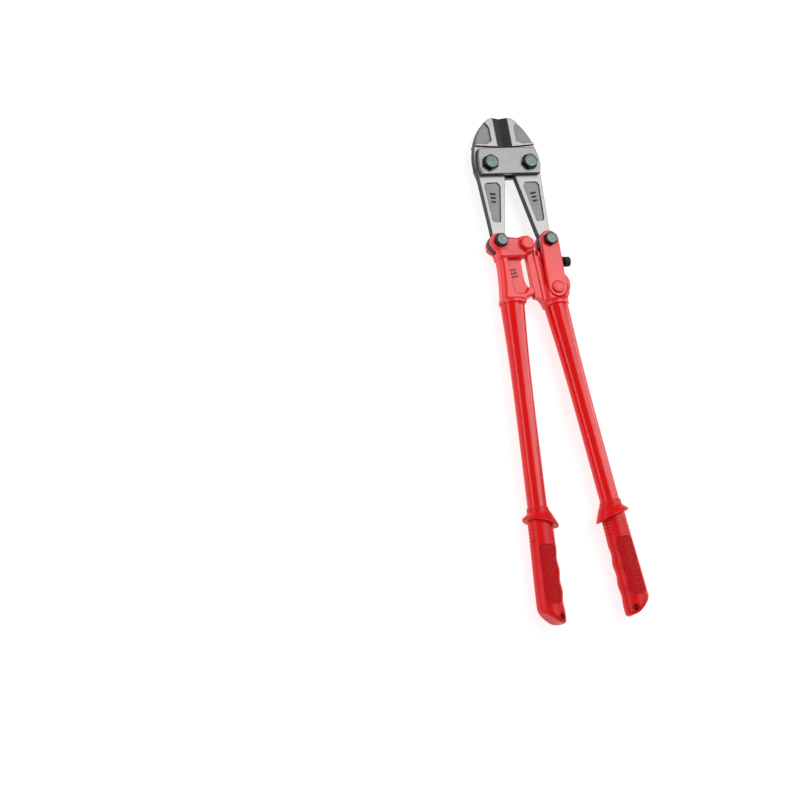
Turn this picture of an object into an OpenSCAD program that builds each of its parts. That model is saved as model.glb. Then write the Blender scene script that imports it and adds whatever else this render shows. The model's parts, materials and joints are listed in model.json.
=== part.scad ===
// Compound-action bolt cutter, lying flat: X across, +Y towards the jaws, +Z up.
// All pieces are drawn about the centre bolt, then set down on the ground by place().

/* [Overall] */
// Length from the jaw tips to the ends of the grips
overall_length = 458.2; // [450:0.1:466]
// Angle between each handle and the middle line when closed
handle_angle = 4.25; // [4:0.05:4.5]
// Sideways distance of a handle's axis from the middle line at its socket
handle_x = 20.6; // [20:0.1:21.5]
// Running clearance between a pin and its bore, on the radius
running_gap = 0.08; // [0.03:0.01:0.1]
// Space between faces that slide past each other
side_gap = 0.3; // [0.2:0.05:0.4]

/* [Pivots] */
// Sideways distance of each jaw bolt from the middle line
jaw_pivot_x = 19; // [18.5:0.1:19.5]
// Distance of the jaw bolts ahead of the centre bolt
jaw_pivot_y = 78; // [77:0.5:79]
// Sideways distance of each tail bolt from the middle line
tail_pivot_x = 24; // [23.5:0.1:24.5]
// Distance of the tail bolts ahead of the centre bolt
tail_pivot_y = 3.6; // [3:0.1:4]
// Sideways distance of the pin that anchors the side links
anchor_x = 22.8; // [22.4:0.1:23.2]
// Distance of the anchor pin behind the centre bolt
anchor_y = 41.2; // [40.8:0.1:41.6]

/* [Jaws] */
// Distance of the jaw tips ahead of the centre bolt
tip_y = 123.2; // [122:0.1:124]
// Thickness of a jaw between the joint plates and along its tail
jaw_thickness = 6.6; // [6.4:0.1:7.4]
// Thickness of the cutting head
head_thickness = 10.6; // [10:0.2:11.6]
// Width of each jaw's cutting bevel
bevel_width = 7.2; // [6:0.1:8]
// Height of the cutting edges above the middle plane
edge_height = 2; // [0:0.2:2.4]
// Space left between the two cutting edges when closed
blade_gap = 0.3; // [0.2:0.05:0.4]
// Radius of the eye at the end of a jaw's tail
tail_eye_r = 8.7; // [8:0.1:8.9]
// Extra radius of the jaw's bore around the jaw bolt
jaw_bore_play = 1.5; // [1.4:0.05:1.8]

/* [Plates and links] */
// Thickness of the joint plates, side links and yoke cheeks
plate_thickness = 4.6; // [4.2:0.1:5]
// Half the width of a joint plate at its widest
plate_half_width = 30; // [29:0.25:30.5]
// Radius of the round ends of a side link
link_r = 8.8; // [8.4:0.1:9]

/* [Fasteners] */
// Radius of the jaw bolts
jaw_bolt_r = 4; // [3.5:0.1:4.2]
// Radius of the tail bolts
tail_bolt_r = 3.8; // [3.5:0.1:4]
// Radius of the centre bolt
centre_bolt_r = 4.5; // [4:0.1:4.8]
// Width across the flats of the jaw bolt heads
jaw_head_flats = 13; // [12:0.5:14]
// Width across the flats of the tail bolt heads
tail_head_flats = 11; // [10:0.5:12]
// Height of the bolt heads
bolt_head_height = 4.5; // [4:0.25:5]
// Height of the nuts
nut_height = 4.5; // [4:0.25:4.5]

/* [Handles] */
// Outer radius of a tube along its grip half
tube_r = 8.4; // [8:0.1:8.6]
// Outer radius of a tube at its flared mouth
tube_mouth_r = 10.8; // [10.2:0.1:11]
// Length of the flare
flare_length = 66; // [60:1:72]
// Wall of a tube
tube_wall = 1.4; // [1.2:0.1:1.6]
// Radius of the yoke's round collar above the tube
collar_r = 11.4; // [11:0.1:11.6]
// Distance of the left collar's foot behind the centre bolt
left_collar_y = 53.5; // [53:0.1:54]
// Distance of the right collar's foot behind the centre bolt
right_collar_y = 56.5; // [56:0.1:57]

/* [Grips] */
// Distance of the grips' upper ends behind the centre bolt
grip_top_y = 235; // [234:0.5:236]
// Radius of the collar at a grip's upper end
grip_collar_r = 9.4; // [9.3:0.1:9.8]
// Reach of a grip from the tube's axis towards the other handle
grip_inner = 13; // [12.5:0.1:13.2]
// Reach of a grip away from the other handle
grip_outer = 10.8; // [10.4:0.1:11]
// Half the thickness of a grip
grip_half_z = 10.6; // [10.2:0.1:11]
// Reach of the guard towards the other handle
guard_inner = 17; // [16.5:0.1:17.6]
// Reach of the guard away from the other handle
guard_outer = 14.6; // [14:0.1:15.6]
// Slant of the guard: its inner side lies farther from the jaws
guard_slant = 13; // [10:1:16]
// Radius of the hanging hole near the end of a grip
hang_hole_r = 2.5; // [2:0.1:2.8]

/* [Hidden] */

$fn = 64;
eps = 0.01;

paint_red = "#d5181d";
grip_red = "#c4141b";
forged_steel = "#b4b4b2";
plate_steel = "#a8a8a4";
black_oxide = "#23282a";

// Levels above the middle plane of the tool
jaw_z = jaw_thickness / 2;
head_z = head_thickness / 2;
inner_z = jaw_z + side_gap;
outer_z = inner_z + plate_thickness;
boss_height = 0.8;
rest_z = outer_z + nut_height;
guard_half_z = rest_z - 0.05;

tail_neck_y = 12;
bevel_land = 0.8;
bevel_foot_y = 94.6;
shoulder_y = 94.6;
adjuster_y = 15.2;
screw_r = 2.6;
cheek_eye_r = 8.4;
yoke_half_z = 7.2;
web_half_z = 2.5;
right_body_z = 4.6;
grip_end_y = overall_length - tip_y;
grip_toe_x = 6.6;
grip_toe_half = 6.2;
grip_end_run = (grip_end_y - grip_top_y - (grip_toe_x + grip_toe_half) * sin(handle_angle))
    / cos(handle_angle);
tube_bore_r = tube_r - tube_wall;
spigot_r = tube_bore_r - 0.05;

// Point at part t of a cubic curve from a to d, pulled towards b and c
function bezier(a, b, c, d, t) =
    a * pow(1 - t, 3) + 3 * b * t * pow(1 - t, 2) + 3 * c * t * t * (1 - t) + d * pow(t, 3);
function curve(a, b, c, d, steps) = [for (i = [0 : steps]) bezier(a, b, c, d, i / steps)];
// Sideways place of a handle's axis at a distance y behind the centre bolt
function axis_x(y) = handle_x + (y - left_collar_y) * tan(handle_angle);

module place() {
    translate([0, overall_length / 2 - tip_y, rest_z]) children();
}

module left_side() {
    mirror([1, 0, 0]) children();
}

// Children are drawn with the right handle's axis running down -Y from the origin
module along_handle(y) {
    translate([axis_x(y), -y, 0]) rotate([0, 0, handle_angle]) children();
}

// Turns a shape drawn up Z so that it runs down the handle
module down_axis() {
    rotate([90, 0, 0]) children();
}

module slab(low, high) {
    translate([0, 0, low]) linear_extrude(high - low) children();
}

module disc_at(x, y, r, low, high) {
    translate([x, y, low]) cylinder(r = r, h = high - low);
}

module both_faces() {
    children();
    mirror([0, 0, 1]) children();
}

// ---- Jaws ----

module jaw_outline() {
    polygon(concat(
        [[blade_gap / 2, tip_y]],
        curve([8.5, tip_y], [17.5, tip_y - 1], [30.5, tip_y - 20], [32, tip_y - 41], 12),
        [[31.8, jaw_pivot_y - 2], [30.6, jaw_pivot_y - 5.5], [28, tail_neck_y + 4]],
        [[tail_pivot_x + 4, tail_pivot_y], [tail_pivot_x - 6, tail_pivot_y]],
        [[15.8, tail_neck_y - 1], [5.3, 65], [4.2, 72], [3.6, 86], [blade_gap / 2, 92]]
    ));
}

module head_region() {
    polygon([[0, shoulder_y], [34, shoulder_y + 2.4], [34, tip_y + 1], [0, tip_y + 1]]);
}

module head_pocket() {
    polygon([[13.4, 116], [12.2, 113], [12.4, 101], [17.6, 98.2], [40, 99.5], [40, 120], [17, 120]]);
}

module tail_pocket() {
    polygon([
        [11.4, 57.6], [13.8, 61.2], [24.2, 61.2], [26.4, 58.4],
        [24.9, 25.6], [23, 24], [17.6, 24],
    ]);
}

// Wedge that is cut away beside the cutting edge, from the level `root` out to the level `face`
module bevel_cut(root, face) {
    past_face = face + (face > root ? 1 : -1);
    translate([0, bevel_foot_y, 0]) rotate([-90, 0, 0])
        linear_extrude(tip_y - bevel_foot_y + 1)
            polygon([
                [-1, -root], [blade_gap / 2, -root],
                [bevel_width, -face], [bevel_width, -past_face], [-1, -past_face],
            ]);
}

module jaw() {
    difference() {
        union() {
            slab(-jaw_z, jaw_z) jaw_outline();
            slab(-head_z, head_z) intersection() {
                jaw_outline();
                head_region();
            }
            disc_at(tail_pivot_x, tail_pivot_y, tail_eye_r, -jaw_z, jaw_z);
        }
        disc_at(jaw_pivot_x, jaw_pivot_y, jaw_bolt_r + jaw_bore_play, -20, 20);
        disc_at(tail_pivot_x, tail_pivot_y, tail_bolt_r + running_gap, -20, 20);
        bevel_cut(edge_height + bevel_land, head_z);
        bevel_cut(edge_height - bevel_land, -head_z);
        both_faces() slab(head_z - 1.6, head_z + 1) head_pocket();
        both_faces() slab(jaw_z - 1.2, jaw_z + 1) tail_pocket();
    }
}

module right_jaw() {
    color(forged_steel) jaw();
}

module left_jaw() {
    color(forged_steel) left_side() jaw();
}

// ---- Joint plates and their bolts ----

module joint_plate_outline() {
    half = plate_half_width;
    polygon([
        [-half + 2.8, 93], [half - 2.8, 93], [half - 0.8, 86], [half, 75.4],
        [half - 2, 67.8], [-half + 2, 67.8], [-half, 75.4], [-half + 0.8, 86],
    ]);
}

module joint_plate() {
    difference() {
        slab(inner_z, outer_z) joint_plate_outline();
        for (side = [-1, 1])
            disc_at(side * jaw_pivot_x, jaw_pivot_y, jaw_bolt_r, 0, 20);
    }
}

module front_joint_plate() {
    color(plate_steel) joint_plate();
}

module rear_joint_plate() {
    color(plate_steel) mirror([0, 0, 1]) joint_plate();
}

// Bolt whose head rests on the level `seat` and whose end is at the level `foot`
module hex_bolt(r, flats, seat, foot) {
    translate([0, 0, foot]) cylinder(r = r, h = seat - foot);
    translate([0, 0, seat]) hex_prism(flats, bolt_head_height);
}

module hex_prism(flats, height) {
    cylinder(r = flats / sqrt(3), h = height, $fn = 6);
}

// Nut under the lower face at the level `seat`
module hex_nut(r, flats, seat, height) {
    translate([0, 0, seat - height]) difference() {
        hex_prism(flats, height);
        translate([0, 0, -1]) cylinder(r = r, h = height + 2);
    }
}

module jaw_bolt() {
    translate([jaw_pivot_x, jaw_pivot_y, 0])
        hex_bolt(jaw_bolt_r, jaw_head_flats, outer_z, -rest_z + 0.5);
}

module jaw_nut() {
    translate([jaw_pivot_x, jaw_pivot_y, 0])
        hex_nut(jaw_bolt_r, jaw_head_flats, -outer_z, nut_height);
}

module right_jaw_bolt() {
    color(black_oxide) jaw_bolt();
}

module left_jaw_bolt() {
    color(black_oxide) left_side() jaw_bolt();
}

module right_jaw_nut() {
    color(black_oxide) jaw_nut();
}

module left_jaw_nut() {
    color(black_oxide) left_side() jaw_nut();
}

// ---- Centre pivot ----

module centre_bolt() {
    color(paint_red) {
        translate([0, 0, -rest_z + 0.5]) cylinder(r = centre_bolt_r, h = rest_z + outer_z + 1);
        translate([0, 0, outer_z + boss_height + 0.2])
            hex_prism(tail_head_flats, bolt_head_height - 1);
    }
}

module centre_nut() {
    color(black_oxide) hex_nut(centre_bolt_r, 12, -outer_z - 0.2, nut_height - 0.2);
}

// ---- Left yoke: a fork that holds the left jaw's tail and the right yoke's tongue ----

module left_cheek_outline() {
    translate([-tail_pivot_x, tail_pivot_y]) circle(cheek_eye_r);
    circle(8.6);
    polygon([
        [-tail_pivot_x - 7.8, tail_pivot_y], [-tail_pivot_x, tail_pivot_y + 5.6],
        [0, 5.8], [6.6, -5.5], [-3.4, -11], [-26.6, -11], [-27.4, -5],
    ]);
}

// The frame below the fork: rail, web, foot and the shoulder above the collar
module left_frame_outline() {
    polygon(concat(
        curve([-27.4, -6], [-26.6, -20], [-28.4, -34], [-31.2, -left_collar_y + 2], 8),
        [[-29, -left_collar_y + 1], [-9.5, -left_collar_y + 0.5], [-8.2, -48.6]],
        [[-3.6, -47.4], [0.7, -45.6], [0.7, -41.6], [-2.6, -38]],
        curve([-2.6, -38], [-4.4, -36], [-5.4, -34], [-5.4, -30], 4),
        [[-5.4, -14], [-3.2, -11], [-3.2, -9], [-27, -4]]
    ));
}

module left_pocket_outline() {
    polygon(concat(
        [[-19.6, -12.6], [-18.2, -11.6], [2, -11.6], [2, -37]],
        curve([-5, -40], [-7, -43.6], [-8, -45], [-11, -45], 4),
        [[-15.5, -45], [-18.4, -42.4]]
    ));
}

module handle_socket(y) {
    along_handle(y) down_axis() {
        translate([0, 0, -3.4]) cylinder(r1 = collar_r - 1.6, r2 = collar_r, h = 1.4);
        translate([0, 0, -2]) cylinder(r = collar_r, h = 2);
        cylinder(r = spigot_r, h = 44);
    }
}

module left_yoke() {
    color(paint_red) difference() {
        union() {
            both_faces() slab(inner_z, outer_z) left_cheek_outline();
            difference() {
                slab(-yoke_half_z, yoke_half_z) left_frame_outline();
                both_faces() slab(web_half_z, 20) left_pocket_outline();
            }
            disc_at(0, 0, 7.6, outer_z - eps, outer_z + boss_height);
            disc_at(-tail_pivot_x, tail_pivot_y, 7.6, outer_z - eps, outer_z + boss_height);
            left_side() handle_socket(left_collar_y);
        }
        disc_at(-tail_pivot_x, tail_pivot_y, tail_eye_r + side_gap, -inner_z, inner_z);
        disc_at(0, 0, 8.6 + side_gap, -inner_z, inner_z);
        disc_at(0, 0, centre_bolt_r + running_gap, -20, 20);
        disc_at(-tail_pivot_x, tail_pivot_y, tail_bolt_r, -20, 20);
    }
}

// ---- Right yoke: a tongue inside the fork, and a lug between the side links ----

module right_body_outline() {
    polygon(concat(
        [[1, -8], [8, -3.6], [12.6, -5.2], [14.7, -9], [14.7, -42]],
        [[15.2, -46.5], [20, -51.4], [30.5, -51.4], [31, -55], [11.2, -57.4]],
        curve([11.2, -57.4], [8.4, -51.6], [5.6, -48.4], [1, -48.2], 5)
    ));
}

module right_lug_outline() {
    translate([anchor_x + 3.2, -anchor_y + 5]) circle(11.8);
    polygon([[1, -8], [12.6, -5.2], [15, -20], [21, -24], [33, -28], [32, -48], [4, -48]]);
}

module right_yoke() {
    color(paint_red) difference() {
        union() {
            disc_at(0, 0, 8.6, -jaw_z, jaw_z);
            slab(-jaw_z, jaw_z) polygon([[-3, -7.6], [8, -3.2], [12, -6], [12, -16], [1, -16], [1, -9]]);
            slab(-right_body_z, right_body_z) difference() {
                right_body_outline();
                circle(9.2);
            }
            slab(-inner_z, inner_z) difference() {
                right_lug_outline();
                circle(9.2);
            }
            handle_socket(right_collar_y);
        }
        both_faces() slab(right_body_z - 1.4, 20) polygon([[0, -13], [8, -13], [8.4, -46], [0, -46]]);
        disc_at(0, 0, centre_bolt_r + running_gap, -20, 20);
        disc_at(tail_pivot_x, tail_pivot_y, tail_eye_r + side_gap, -20, 20);
        both_faces() slab(inner_z, 20) side_link_outline(link_r + 0.2);
        disc_at(anchor_x, -anchor_y, tail_bolt_r, -20, 20);
    }
}

// ---- Side links, their anchor pin and the adjuster ----

// Bar with round ends of radius r about the tail bolt and the anchor pin
module side_link_outline(r) {
    tail = [tail_pivot_x, tail_pivot_y];
    anchor = [anchor_x, -anchor_y];
    run = anchor - tail;
    across = [-run[1], run[0]] / norm(run) * r;
    translate(tail) circle(r);
    translate(anchor) circle(r);
    polygon([tail + across, tail - across, anchor - across, anchor + across]);
}

module side_link() {
    difference() {
        slab(inner_z, outer_z) side_link_outline(link_r);
        disc_at(tail_pivot_x, tail_pivot_y, tail_bolt_r, 0, 20);
        disc_at(anchor_x, -anchor_y, tail_bolt_r, 0, 20);
    }
}

module front_side_link() {
    color(paint_red) side_link();
}

module rear_side_link() {
    color(paint_red) mirror([0, 0, 1]) side_link();
}

module anchor_pin() {
    color(paint_red) translate([anchor_x, -anchor_y, 0]) {
        translate([0, 0, -outer_z]) cylinder(r = tail_bolt_r, h = 2 * outer_z);
        both_faces() translate([0, 0, outer_z]) cylinder(r1 = 6, r2 = 5.4, h = 2.2);
    }
}

// Children are drawn with the adjusting screw's axis running along +X from the origin
module at_adjuster() {
    translate([15.6, -adjuster_y, 0]) rotate([0, 90, 0]) children();
}

module adjusting_block() {
    color(black_oxide) difference() {
        slab(-inner_z, inner_z) polygon([
            [21, -adjuster_y - 5], [32.4, -adjuster_y - 5],
            [32.4, -adjuster_y + 5], [21, -adjuster_y + 5],
        ]);
        at_adjuster() cylinder(r = screw_r + running_gap, h = 40);
    }
}

module adjusting_lock_nut() {
    color(black_oxide) at_adjuster() translate([0, 0, 17.4]) difference() {
        hex_prism(9, 3);
        translate([0, 0, -1]) cylinder(r = screw_r + running_gap, h = 5);
    }
}

module adjusting_screw() {
    color(black_oxide) at_adjuster() {
        cylinder(r = screw_r, h = 22);
        translate([0, 0, 21]) cylinder(r = 4.6, h = 5.6);
    }
}

module tail_bolt() {
    translate([tail_pivot_x, tail_pivot_y, 0])
        hex_bolt(tail_bolt_r, tail_head_flats, outer_z, -rest_z + 0.5);
}

module tail_nut() {
    translate([tail_pivot_x, tail_pivot_y, 0])
        hex_nut(tail_bolt_r, tail_head_flats, -outer_z, nut_height);
}

module right_tail_bolt() {
    color(black_oxide) tail_bolt();
}

module left_tail_bolt() {
    color(black_oxide) left_side() translate([tail_pivot_x, tail_pivot_y, 0])
        hex_bolt(tail_bolt_r, tail_head_flats, outer_z + boss_height, -rest_z + 0.5);
}

module right_tail_nut() {
    color(black_oxide) tail_nut();
}

module left_tail_nut() {
    color(black_oxide) left_side() tail_nut();
}

// ---- Tubes ----

module tube(y) {
    length = (grip_end_y - 22 - y) / cos(handle_angle);
    along_handle(y) down_axis() rotate_extrude() polygon([
        [tube_bore_r, 0], [tube_mouth_r, 0],
        [tube_r + 1.1, flare_length * 0.45], [tube_r, flare_length],
        [tube_r, length], [tube_bore_r, length],
    ]);
}

module left_tube() {
    color(paint_red) left_side() tube(left_collar_y);
}

module right_tube() {
    color(paint_red) tube(right_collar_y);
}

// ---- Grips ----

// Thin squashed round slice of a grip: its two reaches from the tube's axis and half its thickness
module grip_section(run, inner, outer, half_z) {
    translate([(outer - inner) / 2, 0, run]) scale([(inner + outer) / 2, half_z, 1])
        cylinder(r = 1, h = 0.2, $fn = 32);
}

module grip_body() {
    along_handle(grip_top_y) down_axis() {
        cylinder(r = grip_collar_r, h = 12);
        hull() {
            translate([0, 0, 2.6]) cylinder(r = grip_collar_r + 0.4, h = 0.2, $fn = 32);
            translate([(guard_outer - guard_inner) / 2, 0, 11.6]) rotate([0, guard_slant, 0])
                scale([(guard_inner + guard_outer) / 2 / cos(guard_slant), guard_half_z, 1])
                    cylinder(r = 1, h = 2, $fn = 32);
        }
        hull() {
            grip_section(12.3, grip_inner - 1.4, grip_outer - 0.8, grip_half_z - 0.6);
            grip_section(84, grip_inner, grip_outer, grip_half_z);
            grip_section(88, grip_inner, grip_outer - 0.5, grip_half_z);
            translate([-grip_toe_x, 0, 92.5]) scale([grip_toe_half, grip_half_z - 2, 1])
                cylinder(r = 1, h = grip_end_run - 92.5, $fn = 32);
        }
    }
}

module grip() {
    difference() {
        grip_body();
        along_handle(grip_top_y) down_axis() {
            translate([0, 0, -1]) cylinder(r = tube_r + 0.02, h = 80.4);
            translate([-6.8, 0, 94]) rotate([90, 0, 0])
                cylinder(r = hang_hole_r, h = 40, center = true);
        }
    }
}

module left_grip() {
    color(grip_red) left_side() grip();
}

module right_grip() {
    color(grip_red) grip();
}

place() left_jaw();
place() right_jaw();
place() front_joint_plate();
place() rear_joint_plate();
place() left_jaw_bolt();
place() right_jaw_bolt();
place() left_jaw_nut();
place() right_jaw_nut();
place() centre_bolt();
place() centre_nut();
place() left_yoke();
place() left_tail_bolt();
place() left_tail_nut();
place() left_tube();
place() left_grip();
place() right_yoke();
place() right_tail_bolt();
place() right_tail_nut();
place() right_tube();
place() right_grip();
place() front_side_link();
place() rear_side_link();
place() anchor_pin();
place() adjusting_block();
place() adjusting_screw();
place() adjusting_lock_nut();
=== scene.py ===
"""Looks of a compound-action bolt cutter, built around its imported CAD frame.

Shapes are worked out in millimetres about the centre bolt, with +Y towards the jaws and Z up, and
are set down in the frame by make_piece. Castings are surfaces where a signed distance is zero.
Fasteners and tubes are profiles turned about an axis.
"""

import json
import math

import bpy
import numpy as np
from bpy.props import FloatProperty, FloatVectorProperty, PointerProperty
from mathutils import Matrix, Vector

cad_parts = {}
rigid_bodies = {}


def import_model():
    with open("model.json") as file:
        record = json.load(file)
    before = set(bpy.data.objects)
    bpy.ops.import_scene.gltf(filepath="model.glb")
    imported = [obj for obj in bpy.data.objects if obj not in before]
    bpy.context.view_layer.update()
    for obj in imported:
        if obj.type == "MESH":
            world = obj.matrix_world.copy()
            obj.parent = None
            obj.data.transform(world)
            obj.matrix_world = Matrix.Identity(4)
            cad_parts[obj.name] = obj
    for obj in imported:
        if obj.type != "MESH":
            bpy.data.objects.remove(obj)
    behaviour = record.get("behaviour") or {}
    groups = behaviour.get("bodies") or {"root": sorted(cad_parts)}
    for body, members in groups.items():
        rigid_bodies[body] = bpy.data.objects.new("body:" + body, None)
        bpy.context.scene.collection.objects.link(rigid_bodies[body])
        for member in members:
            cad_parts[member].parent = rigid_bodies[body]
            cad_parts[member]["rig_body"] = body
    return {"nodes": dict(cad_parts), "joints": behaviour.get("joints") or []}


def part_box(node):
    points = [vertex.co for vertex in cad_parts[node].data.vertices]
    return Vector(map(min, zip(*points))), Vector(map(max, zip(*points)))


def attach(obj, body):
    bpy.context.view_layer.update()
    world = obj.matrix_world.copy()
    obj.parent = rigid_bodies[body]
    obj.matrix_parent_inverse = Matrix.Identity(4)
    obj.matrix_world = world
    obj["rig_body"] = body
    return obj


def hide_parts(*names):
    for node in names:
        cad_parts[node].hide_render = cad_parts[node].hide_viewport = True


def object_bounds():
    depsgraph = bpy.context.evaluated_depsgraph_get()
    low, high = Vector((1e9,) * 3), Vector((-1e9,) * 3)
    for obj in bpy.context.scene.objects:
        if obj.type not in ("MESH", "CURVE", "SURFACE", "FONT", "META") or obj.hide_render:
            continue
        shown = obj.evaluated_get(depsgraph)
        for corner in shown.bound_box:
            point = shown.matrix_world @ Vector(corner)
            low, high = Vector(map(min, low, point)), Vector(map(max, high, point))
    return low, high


bl_info = {
    "name": "Bolt cutter looks",
    "version": (1, 0, 0),
    "blender": (4, 5, 0),
    "location": "View3D > Sidebar > Bolt cutter",
    "description": "Builds the visible pieces of a bolt cutter around its CAD frame",
    "category": "Object",
}

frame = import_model()
CAD_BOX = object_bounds()

MM = 0.001
JOINT_PLACE = {joint["name"]: joint.get("pos_m") for joint in frame["joints"]}
CENTRE = Vector(JOINT_PLACE["left_handle_swing"])


def corner(node, end):
    """Lowest (end 0) or highest (end 1) corner of a CAD node, in millimetres from the centre bolt."""
    return (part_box(node)[end] - CENTRE) / MM


# Levels above the middle plane
HEAD_Z = corner("right_jaw", 1).z
INNER_Z = corner("front_joint_plate", 0).z
OUTER_Z = corner("front_joint_plate", 1).z
JAW_Z = INNER_Z - 0.3
FLOOR_Z = -CENTRE.z / MM
FRAME_Z = 7.2
WEB_Z = 2.5
BODY_Z = 4.6
BOSS_TOP = OUTER_Z + 0.8
BOLT_FOOT = FLOOR_Z + 0.5

# Pivots
TAIL_X = (JOINT_PLACE["right_jaw_turn"][0] - CENTRE.x) / MM
TAIL_Y = (JOINT_PLACE["right_jaw_turn"][1] - CENTRE.y) / MM
JAW_BOLT_LOW = corner("right_jaw_bolt", 0)
JAW_BOLT_HIGH = corner("right_jaw_bolt", 1)
JAW_X = (JAW_BOLT_LOW.x + JAW_BOLT_HIGH.x) / 2
JAW_Y = (JAW_BOLT_LOW.y + JAW_BOLT_HIGH.y) / 2
BOLT_HEAD = JAW_BOLT_HIGH.z - OUTER_Z
ANCHOR_LOW = corner("anchor_pin", 0)
ANCHOR_HIGH = corner("anchor_pin", 1)
ANCHOR_X = (ANCHOR_LOW.x + ANCHOR_HIGH.x) / 2
ANCHOR_Y = (ANCHOR_LOW.y + ANCHOR_HIGH.y) / 2
SCREW_Y = (JOINT_PLACE["adjusting_screw_turn"][1] - CENTRE.y) / MM
SCREW_X = corner("adjusting_screw", 0).x
SCREW_END = corner("adjusting_screw", 1).x

# Outline and handle sizes
TIP_Y = corner("right_jaw", 1).y
SHOULDER_Y = 94.6
BLADE_GAP = corner("right_jaw", 0).x
BEVEL_WIDTH = 7.2
EDGE_Z = 2.0
BEVEL_LAND = 0.8
TAIL_EYE_R = 8.7
EYE_ROOM = 0.3
PIVOT_EYE_R = 8.6
PIVOT_ROOM_R = 9.2
BOSS_R = 7.6
JAW_BORE_R = 5.5
TAIL_BOLT_R = 3.8
CENTRE_BOLT_R = 4.5
SCREW_R = 2.6
JAW_BOLT_R = 4.0
LINK_R = 8.8
CHEEK_EYE_R = 8.4
COLLAR_R = 11.4
COLLAR_RUN = 3.6
SPIGOT_RUN = 44.0
LEFT_COLLAR_Y = 53.5
RIGHT_COLLAR_Y = 56.5
HANDLE_X = 20.6
HANDLE_ANGLE = math.radians(4.25)
GRIP_TOP_Y = 235.0
GRIP_END_Y = -corner("right_grip", 0).y
GRIP_RUN = 99.3
GUARD_Z = corner("right_grip", 1).z - 0.05
TUBE_R = 8.4
TUBE_BORE_R = 7.0
SPIGOT_R = 6.95
FIT_GAP = 0.08
JAW_FLATS = 13.0
TAIL_FLATS = 11.0
CENTRE_HEAD_FLATS = 11.6
CENTRE_NUT_FLATS = 12.0
SCREW_HEAD = 5.6
TUBE_FLARE = 2.2
TUBE_SHORT_OF_END = 22.0
HANG_HOLE = (-6.8, 94.0)
HANG_HOLE_R = 2.5

# Face sizes of two pieces, as parts of the mesh step
BLOCK_STEP = 0.75
GRIP_STEP = 1.05


# ---- Settings ----

class BoltCutterShape(bpy.types.PropertyGroup):
    """Sizes of the visible pieces"""

    mesh_step: FloatProperty(
        name="Mesh step", description="Size of the faces of castings and grips",
        default=0.4 * MM, min=0.2 * MM, max=2.0 * MM, unit="LENGTH", precision=5)
    hatch_spacing: FloatProperty(
        name="Hatch spacing", description="Distance between the grooves of a grip's hatched panels",
        default=2.2 * MM, min=1.0 * MM, max=5.0 * MM, unit="LENGTH", precision=5)
    hatch_depth: FloatProperty(
        name="Hatch depth", description="Depth of the grooves of a grip's hatched panels",
        default=0.5 * MM, min=0.1 * MM, max=1.0 * MM, unit="LENGTH", precision=5)
    rib_pitch: FloatProperty(
        name="Rib pitch", description="Distance between the thumb ribs below a grip's guard",
        default=3.1 * MM, min=1.0 * MM, max=6.0 * MM, unit="LENGTH", precision=5)
    scallop_depth: FloatProperty(
        name="Scallop depth", description="Depth of the finger scallops on a grip's inner side",
        default=0.8 * MM, min=0.0, max=2.0 * MM, unit="LENGTH", precision=5)
    thread_pitch: FloatProperty(
        name="Thread pitch", description="Distance between the turns of the bolts' threads",
        default=1.25 * MM, min=0.5 * MM, max=2.0 * MM, unit="LENGTH", precision=5)


def colour_property(name, description, colour):
    """A colour setting with its default."""
    return FloatVectorProperty(name=name, description=description, default=colour, size=3,
                               min=0.0, max=1.0, subtype="COLOR")


class BoltCutterColours(bpy.types.PropertyGroup):
    """Colours of the finishes"""

    cast_red: colour_property(
        "Cast red", "Enamel on the yokes, side links and centre bolt", (0.86, 0.008, 0.010))
    tube_red: colour_property("Tube red", "Gloss enamel on the tubes", (0.76, 0.001, 0.002))
    grip_red: colour_property("Grip red", "Moulded plastic of the grips", (0.72, 0.004, 0.007))
    # Painted shade: the darker red laid into the grips' grooves and hanging hole
    groove_red: colour_property("Groove shade red", "Bottom of the grips' grooves", (0.50, 0.003, 0.006))
    ground_steel: colour_property("Ground steel", "Flat faces of the jaws", (0.25, 0.25, 0.247))
    forged_grey: colour_property("Forged grey", "Pocket floors of the jaws", (0.20, 0.20, 0.197))
    # Dark forging scale on the jaws' sides; its darkness is also painted shade on the sides and pocket
    # walls
    dark_scale: colour_property("Scale and shade", "Side faces of the jaws", (0.060, 0.058, 0.058))
    # Painted shade: the polished bevels are given a dark colour for the shade they show
    bevel_steel: colour_property("Shaded bevel steel", "Cutting bevels", (0.060, 0.058, 0.058))
    plate_steel: colour_property("Plate steel", "Faces of the joint plates", (0.215, 0.214, 0.208))
    black_oxide: colour_property("Black oxide", "Bolts, nuts and adjuster", (0.022, 0.024, 0.025))
    # Painted sheen: a lighter oxide colour on the bolt heads' tops for the light they catch
    worn_oxide: colour_property("Top sheen oxide", "Top faces of the bolt heads", (0.085, 0.112, 0.106))


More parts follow.
